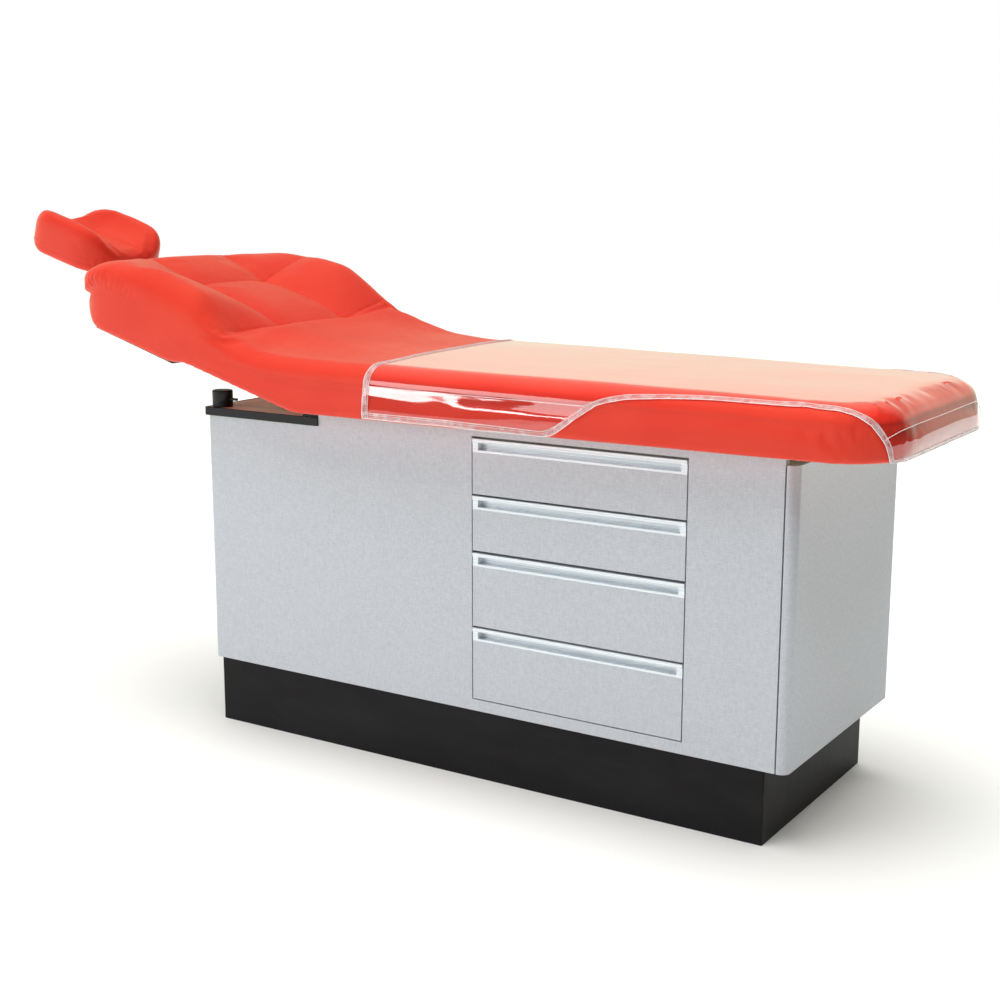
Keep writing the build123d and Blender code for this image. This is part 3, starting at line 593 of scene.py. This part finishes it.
def cushion_detail(p, n):
    """Seams, gathers and small wrinkles, laid on after the swelling."""
    x, y, z = p.T
    upright = np.clip(1 - np.abs(n[:, 2]) * 1.1, 0, 1)
    on_side = smooth_step(cushion_shape.inset(x, y), 34, 10) * upright
    head = smooth_step(x, -915, -985) * on_side
    seam_off = z - seam_height(x) + 40 * head
    move = -1.1 * hump(seam_off, 2.6) * on_side
    move += 0.5 * (hump(seam_off - 7, 6) + hump(seam_off + 7, 6)) * on_side
    lump = smooth_step(seam_off, 0, 16) * smooth_step(seam_off, 85, 30)
    move += 9.0 * lump * head
    move -= 6.0 * hump(seam_off, 10) * head
    corner = smooth_step(x, -775, -870) * on_side
    along = np.where(np.abs(y) > 300, x, -1000 + 0.8 * (330 - np.abs(y)))
    gather = np.sin(along / 2.2 + 4.0 * relief(p, 24, 3.0))
    gather *= np.clip(0.5 + 0.9 * relief(p, 17, 9.0), 0, 1)
    move += (2.4 * gather + 1.1 * relief(p, 8, 7.0)) * hump(seam_off - 9, 14) * corner
    fold = crease_distance(x, y)
    sewn = quilted(x, y) * smooth_step(n[:, 2], 0.3, 0.6)
    move -= 1.9 * hump(fold, 3.6) * sewn
    pucker = relief(p, 9, 5.0, (1, 1, 0.4))
    move += 0.5 * pucker * hump(fold - 9, 8) * sewn
    move -= 2.5 * hump(crossing_distance(x, y), 8) * sewn
    move += 0.9 * relief(p, 150, 1.0) * smooth_step(n[:, 2], 0.2, 0.7)
    return move


push(cushion, cushion_detail)
cushion.data.materials.append(red)
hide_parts("main_cushion")
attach(cushion, "cabinet")

# ---------------------------------------------------------------- headrest pad
REST_BASE = np.array([-1272.0, 0.0, 996.0])
REST_TILT = math.radians(16)
REST_AXES = np.array(
    [
        [-math.cos(REST_TILT), 0, math.sin(REST_TILT)],
        [0, -1, 0],
        [math.sin(REST_TILT), 0, math.cos(REST_TILT)],
    ]
)
REST_HALF = 128.0
dome_line = [(-128, 88), (-102, 96), (-60, 102), (0, 106), (60, 106), (109, 101), (128, 95)]
rest_dome = soft_profile(dome_line, 12)


def rest_top(u, v):
    """A domed block with a rounded channel along its length for the neck."""
    floor_height = 52 + 20 * smooth_step(u, 40, 126)
    dish = floor_height + 120 - np.sqrt(np.maximum(120**2 - np.minimum(np.abs(v), 112) ** 2, 0))
    dome = rest_dome(u)
    blend = 5.0
    return -blend * np.log(np.exp(-dome / blend) + np.exp(-dish / blend))


rest_shape = Pad(
    -REST_HALF,
    REST_HALF,
    lambda u: REST_HALF + 0 * u,
    (80.0, 76.0),
    rest_top,
    lambda u, v: 1.0 + 0 * u,
    lambda u, v: 30 + 0 * u,
    lambda u, v: np.clip(rest_top(u, v) - 42, 8, 36),
    lambda u, v: 12 + 14 * smooth_step(u, 50, 110),
)
headrest_cushion = rest_shape.build("headrest_upholstery", 6.0, 7)
remesh(headrest_cushion, 5.0)


def rest_hold(p):
    return np.clip(smooth_step(p[:, 2], 12, 5) + 0.9 * hump(p[:, 2] - 22, 5), 0, 1)


inflate(headrest_cushion, rest_hold, pressure=4.0, frames=12, cap=5.0)
subdivide(headrest_cushion)


def rest_detail(p, n):
    u, v, w = p.T
    upright = smooth_step(np.abs(n[:, 2]), 0.75, 0.4)
    seam_off = w - 22
    move = -0.7 * hump(seam_off, 2.2) * upright
    move += 0.3 * (hump(seam_off - 6, 5) + hump(seam_off + 6, 5)) * upright
    turn = np.arctan2(v, u)
    near_corner = hump(np.abs(np.abs(v) - np.abs(u)), 50)
    move += 0.7 * np.sin(turn * 46 + 2 * relief(p, 20)) * hump(seam_off - 5, 7) * upright * near_corner
    return move + 0.6 * relief(p, 60, 4.0)


push(headrest_cushion, rest_detail)
write_points(headrest_cushion, read_points(headrest_cushion) @ REST_AXES + REST_BASE * MM)
headrest_cushion.data.materials.append(red)
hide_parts("headrest_pad")
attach(headrest_cushion, "headrest")

# ---------------------------------------------------------------- clear cover
def surface_tree(piece):
    """A search tree of the piece's faces, in metres."""
    points = [tuple(v.co) for v in piece.data.vertices]
    return BVHTree.FromPolygons(points, [tuple(f.vertices) for f in piece.data.polygons])


cushion_tree = surface_tree(cushion)
ROLL, ROLL_DROP = 34.0, 32.0
ROLL_ARC = math.pi / 2 * math.sqrt((ROLL**2 + ROLL_DROP**2) / 2)
CORNER_X, CORNER_Y = FOOT_X - FOOT_CORNER, HALF_WIDTH - FOOT_TAPER - FOOT_CORNER
CORE_RADIUS = FOOT_CORNER - ROLL


def wrap(p, q):
    """Lays a flat sheet over the seat: p along the length, q across; returns points in mm."""
    side = np.sign(q)
    core_half = half_width(p) - ROLL
    width = np.abs(q)
    at_foot = p > CORNER_X
    round_x = np.maximum(p - CORNER_X, 0)
    round_y = np.maximum(np.where(at_foot, width - CORNER_Y, width - core_half + CORE_RADIUS), 0)
    reach = np.hypot(round_x, round_y)
    past = np.maximum(reach - CORE_RADIUS, 0)
    turn = np.minimum(past / ROLL_ARC, 1) * math.pi / 2
    out = np.minimum(reach, CORE_RADIUS) + ROLL * np.sin(turn)
    scale = out / np.maximum(reach, 1e-6)
    base_y = np.minimum(width, np.where(at_foot, CORNER_Y, core_half - CORE_RADIUS))
    x = np.minimum(p, CORNER_X) + round_x * scale
    y = side * (base_y + round_y * scale)
    top = seat_top(x, y)
    z = top - ROLL_DROP * (1 - np.cos(turn)) - np.maximum(past - ROLL_ARC, 0)
    return np.stack([x, y, z], -1), past


def lay(points, lift):
    """Snaps points in mm to the cushion and lifts them off it by lift."""
    flat = points.reshape(-1, 3) * MM
    lifts = np.broadcast_to(lift, points.shape[:-1]).reshape(-1) * MM
    out = np.empty_like(flat)
    for i, (point, up) in enumerate(zip(flat, lifts)):
        place, normal, _, _ = cushion_tree.find_nearest(Vector(point))
        out[i] = np.array(place) + np.array(normal) * up
    return out.reshape(points.shape) / MM


HEM_BOTTOM, SKEW, END_DROP, FILM_LIFT = 413.0, 0.09, 116.0, 1.4
band_outline = [(-260, 413), (205, 409), (225, 401), (253, 380), (300, 343), (332, 326), (365, 314)]
tongue_outline = [(430, 302), (520, 290), (714, 275), (803, 276), (940, 280)]
outline = soft_profile(band_outline + tongue_outline, 9)


def flat_place(row, across):
    """Flat coordinates of a point of the sheet; row runs from the head hem to the foot hem."""
    q = outline(row) * across - 8 * smooth_step(row, 450, 800)
    skewed = row - SKEW * np.clip(q, -250, 300) * smooth_step(row, 150, -200)
    aside = np.maximum(np.abs(q) - CORNER_Y, 0) / (CORE_RADIUS + END_DROP)
    bend = np.sqrt(np.maximum(1 - aside**2, 0.02))
    p = np.where(skewed > CORNER_X, CORNER_X + (skewed - CORNER_X) * bend, skewed)
    return p, q


def laid_film(row, across):
    """The sheet laid loosely on the cushion, in low waves where it hangs."""
    p, q = flat_place(row, across)
    points, past = wrap(p, q)
    slack = smooth_step(past, 50, 120)
    wave = 0.5 + 0.5 * np.sin(p / 31.0 + np.sin(p / 57.0) * 1.4 + np.sin(q / 60.0))
    ridge = hump(past - ROLL_ARC - 22, 11)
    return lay(points, FILM_LIFT + slack * (0.6 + 0.9 * wave) + 2.6 * ridge * (0.85 + 0.15 * wave))


def grid_piece(name, points):
    """A sheet mesh from a grid of points in mm."""
    rows, columns = points.shape[:2]
    index = np.arange(rows * columns).reshape(rows, columns)
    quads = np.stack([index[:-1, :-1], index[1:, :-1], index[1:, 1:], index[:-1, 1:]], -1).reshape(-1, 4)
    mesh = bpy.data.meshes.new(name)
    mesh.from_pydata((points.reshape(-1, 3) * MM).tolist(), [], quads.tolist())
    mesh.shade_smooth()
    piece = bpy.data.objects.new(name, mesh)
    scene.collection.objects.link(piece)
    return piece


HEAD_HEM = -224.0
FOOT_HEM = CORNER_X + CORE_RADIUS + END_DROP
rows = [np.arange(HEAD_HEM, 200, 8), np.arange(200, 440, 5), np.arange(440, FOOT_HEM, 7), [FOOT_HEM]]
columns = np.linspace(-1, 1, 119)
film = laid_film(*np.meshgrid(np.concatenate(rows), columns, indexing="ij"))
for _ in range(6):
    middle = film[1:-1, 1:-1]
    around = film[:-2, 1:-1] + film[2:, 1:-1] + film[1:-1, :-2] + film[1:-1, 2:]
    film[1:-1, 1:-1] = 0.5 * middle + 0.125 * around
flat_film = film.reshape(-1, 3)
ripple = relief(flat_film, 70, 2.0, (0.4, 1, 1)) * 0.30 + relief(flat_film, 24, 6.0, (0.3, 1, 1)) * 0.10
cover = grid_piece("clear_cover", film)
cover_normals = read_points(cover, "normal")
if cover_normals[len(cover_normals) // 3][2] < 0:
    cover.data.flip_normals()
    cover_normals = -cover_normals
write_points(cover, read_points(cover) + cover_normals * (ripple * MM)[:, None])


def clear_film(name):
    """Clear vinyl film: what lies under it shows through a wavy glossy skin."""
    s = Shader(name)
    sheen = s.noise((9, 9, 9), detail=3.0)
    wave = s.bump(s.noise((5, 30, 30), detail=2.0), 0.30, 0.0012)
    wave = s.bump(s.noise((120, 120, 120), detail=2.0), 0.10, 0.0003, wave)
    mirror = s.add("ShaderNodeFresnel", inputs={"IOR": 1.55, "Normal": wave})
    both = s.math("DIVIDE", s.math("MULTIPLY", mirror, 2.0), s.math("ADD", mirror, 1.0))
    gloss = s.add(
        "ShaderNodeBsdfGlossy",
        inputs={"Color": (1, 1, 1), "Roughness": s.remap(sheen, 0.3, 0.7, 0.03, 0.07), "Normal": wave},
    )
    clear = s.add("ShaderNodeBsdfTransparent", inputs={"Color": (0.97, 0.965, 0.96)})
    mixed = s.add("ShaderNodeMixShader", inputs={0: both, 1: clear, 2: gloss})
    s.put(s.tree.nodes["Material Output"].inputs["Surface"], mixed)
    return s.material


def hem_film(name, white):
    """Folded and sewn film: milky along the fold, still glossy."""
    s = Shader(name, Base_Color=(0.97, 0.94, 0.95), Roughness=0.15)
    milk = s.noise((60, 60, 60), detail=4.0)
    s.set(Normal=s.bump(milk, 0.4, 0.0006))
    clear = s.add("ShaderNodeBsdfTransparent", inputs={"Color": (0.98, 0.96, 0.96)})
    mixed = s.add(
        "ShaderNodeMixShader",
        inputs={0: s.remap(milk, 0.35, 0.65, white - 0.15, white + 0.15), 1: clear, 2: s.bsdf.outputs[0]},
    )
    s.put(s.tree.nodes["Material Output"].inputs["Surface"], mixed)
    return s.material


film_clear = clear_film("clear_film")
hem_clear = hem_film("hem_film", 0.30)
hem_white = hem_film("hem_edge", 0.9)
cover.data.materials.append(film_clear)
cover.visible_shadow = False  # light passes the film as through real clear vinyl


def resample(row, across, pitch):
    """Evenly spaced parameters along a path given by row and across, by the length laid out."""
    points, _ = wrap(*flat_place(row, across))
    length = np.concatenate([[0], np.cumsum(np.linalg.norm(np.diff(points, axis=0), axis=1))])
    even = np.linspace(0, length[-1], int(length[-1] / pitch) + 1)
    return np.interp(even, length, row), np.interp(even, length, across)


fine = np.linspace(0, 1, 400)
HEMS = {
    "head": (HEAD_HEM + 0 * fine, 2 * fine - 1, (1, 0)),
    "near": (HEAD_HEM + (FOOT_HEM - HEAD_HEM) * fine, -1 + 0 * fine, (0, 1)),
    "far": (HEAD_HEM + (FOOT_HEM - HEAD_HEM) * fine, 1 + 0 * fine, (0, -1)),
    "foot": (FOOT_HEM + 0 * fine, 2 * fine - 1, (-1, 0)),
}
HEM_WIDTH = 13.0
HEM_SECTION = ((0, 0.3), (1.5, 1.1), (6, 1.5), (11.5, 1.1), (HEM_WIDTH, 0.3))  # reach in and lift
cover_tree = surface_tree(cover)


def on_cover(row, across, lift):
    """Points in mm on the film's surface, raised off it by lift."""
    points, _ = wrap(*flat_place(row, across))
    out = np.empty_like(points)
    for i, point in enumerate(points * MM):
        place, normal, _, _ = cover_tree.find_nearest(Vector(point))
        out[i] = (np.array(place) + np.array(normal) * lift * MM) / MM
    return out


def inward(row, across, way, distance):
    """The path moved in from the edge of the sheet by distance."""
    if way[0]:
        return row + way[0] * distance, across
    return row, across + way[1] * distance / outline(row)


def tube(path, radius, sides=6):
    """A closed thin tube along a path in mm."""
    along = np.gradient(path, axis=0)
    along /= np.linalg.norm(along, axis=1, keepdims=True)
    across = np.cross(along, np.where(np.abs(along[:, 2:3]) > 0.8, [[1.0, 0, 0]], [[0, 0, 1.0]]))
    across /= np.linalg.norm(across, axis=1, keepdims=True)
    other = np.cross(along, across)
    turn = np.linspace(0, 2 * math.pi, sides, endpoint=False)
    ring = across[:, None] * np.cos(turn)[None, :, None] + other[:, None] * np.sin(turn)[None, :, None]
    return path[:, None] + ring * radius


def tube_mesh(name, tubes, sides=6):
    """One piece from several tubes of points."""
    vertices, faces, start = [], [], 0
    for points in tubes:
        rings = len(points)
        index = np.arange(rings * sides).reshape(rings, sides) + start
        after = np.roll(index, -1, axis=1)
        faces += np.stack([index[:-1], after[:-1], after[1:], index[1:]], -1).reshape(-1, 4).tolist()
        faces += [index[0][::-1].tolist(), index[-1].tolist()]
        vertices += (points.reshape(-1, 3) * MM).tolist()
        start += rings * sides
    mesh = bpy.data.meshes.new(name)
    mesh.from_pydata(vertices, [], faces)
    mesh.shade_smooth()
    piece = bpy.data.objects.new(name, mesh)
    scene.collection.objects.link(piece)
    return piece


def finish_on_cover(piece, material):
    piece.data.materials.append(material)
    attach(piece, "cabinet")


edges, threads = [], []
for name, (row, across, way) in HEMS.items():
    row, across = resample(row, across, 5.0)
    strip = [on_cover(*inward(row, across, way, reach), lift) for reach, lift in HEM_SECTION]
    finish_on_cover(grid_piece(f"hem_{name}", np.stack(strip, 1)), hem_clear)
    edges.append(tube(on_cover(row, across, 0.6), 0.9))
    edges.append(tube(on_cover(*inward(row, across, way, HEM_WIDTH), 0.5), 0.5))
    row, across = resample(row, across, 2.2)
    for reach in (3.5, 9.5):
        line = on_cover(*inward(row, across, way, reach), 1.7)
        threads += [tube(line[k : k + 2], 0.35) for k in range(0, len(line) - 2, 2)]
side_row = np.linspace(HEAD_HEM + 6, 292, 90)
for sign in (-1, 1):
    q = (half_width(side_row) - ROLL) + ROLL_ARC - 1
    edges.append(tube(on_cover(side_row, sign * q / outline(side_row), 0.5), 0.6))
end_across = np.linspace(-0.97, 0.97, 90)
end_row = CORNER_X + CORE_RADIUS + ROLL_ARC + 0 * end_across
edges.append(tube(on_cover(end_row, end_across, 0.5), 0.6))
finish_on_cover(tube_mesh("cover_edges", edges), hem_white)
finish_on_cover(tube_mesh("cover_stitches", threads), hem_white)

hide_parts("foot_cover")
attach(cover, "cabinet")

# ---------------------------------------------------------------- floor and light
floor_mesh = bpy.data.meshes.new("floor")
floor_mesh.from_pydata([(-14, -14, 0), (14, -14, 0), (14, 14, 0), (-14, 14, 0)], [], [(0, 1, 2, 3)])
floor = bpy.data.objects.new("floor", floor_mesh)
scene.collection.objects.link(floor)
floor_shader = Shader("floor", Roughness=0.7)
cloudy = floor_shader.noise((3, 3, 3))
floor_shader.set(Base_Color=floor_shader.mix(cloudy, (0.94, 0.94, 0.94), (0.96, 0.96, 0.96)))
floor_mesh.materials.append(floor_shader.material)


def soft_light(name, place, aim, width, height, radiance):
    data = bpy.data.lights.new(name, "AREA")
    data.shape = "RECTANGLE"
    data.size, data.size_y = width, height
    data.energy = radiance * math.pi * width * height
    light = bpy.data.objects.new(name, data)
    light.location = place
    light.rotation_euler = (Vector(aim) - Vector(place)).to_track_quat("-Z", "Y").to_euler()
    light.visible_camera = False
    scene.collection.objects.link(light)


soft_light("key", (-2.2, -4.2, 2.5), (0, 0, 0.6), 2.2, 1.4, 3.0)
soft_light("strip", (-3.0, -4.0, 1.45), (0, 0, 0.8), 3.0, 0.22, 10.0)
soft_light("left", (-4.6, -2.4, 1.45), (-0.6, 0, 0.7), 1.6, 1.2, 1.0)
soft_light("fill", (0.4, -5.0, 2.2), (0, 0, 0.4), 2.4, 1.4, 1.0)
sun_data = bpy.data.lights.new("ceiling", "SUN")
sun_data.energy = 1.10 * math.pi
sun_data.angle = math.radians(60)
sun_data.color = (1.0, 0.993, 0.97)
sun = bpy.data.objects.new("ceiling", sun_data)
sun.rotation_euler = (math.radians(4), math.radians(-1), 0)
sun.visible_glossy = False
scene.collection.objects.link(sun)

world = bpy.data.worlds.new("studio")
world.use_nodes = True
scene.world = world
tree = world.node_tree
background = tree.nodes["Background"]


def world_node(kind, inputs=(), **settings):
    node = tree.nodes.new(kind)
    for key, value in settings.items():
        setattr(node, key, value)
    for key, value in dict(inputs).items():
        if isinstance(value, bpy.types.NodeSocket):
            tree.links.new(value, node.inputs[key])
        else:
            node.inputs[key].default_value = value
    return node


# a pale wall lights the table from behind, dim towards the front and overhead; seen directly it is white
direction = world_node("ShaderNodeTexCoord").outputs["Generated"]
behind = {0: direction, 1: (-0.75, 0.62, 0.22)}
backward = world_node("ShaderNodeVectorMath", behind, operation="DOT_PRODUCT").outputs["Value"]
height = world_node("ShaderNodeSeparateXYZ", {0: direction}).outputs["Z"]
wall = world_node("ShaderNodeMapRange", {0: backward, 1: 0.0, 2: 0.74, 3: 0.07, 4: 1.0}).outputs[0]
dim = world_node("ShaderNodeMapRange", {0: height, 1: 0.24, 2: 0.36, 3: 1.0, 4: 0.5}).outputs[0]
seen = world_node("ShaderNodeLightPath").outputs["Is Camera Ray"]
glow = world_node("ShaderNodeMath", {0: wall, 1: dim}, operation="MULTIPLY").outputs[0]
strength = world_node("ShaderNodeMath", {0: glow, 1: seen}, operation="MAXIMUM").outputs[0]
shades = {0: seen, 6: (0.84, 0.93, 0.75, 1), 7: (1, 1, 1, 1)}
tint = world_node("ShaderNodeMix", shades, data_type="RGBA").outputs[2]
tree.links.new(tint, background.inputs[0])
tree.links.new(strength, background.inputs[1])
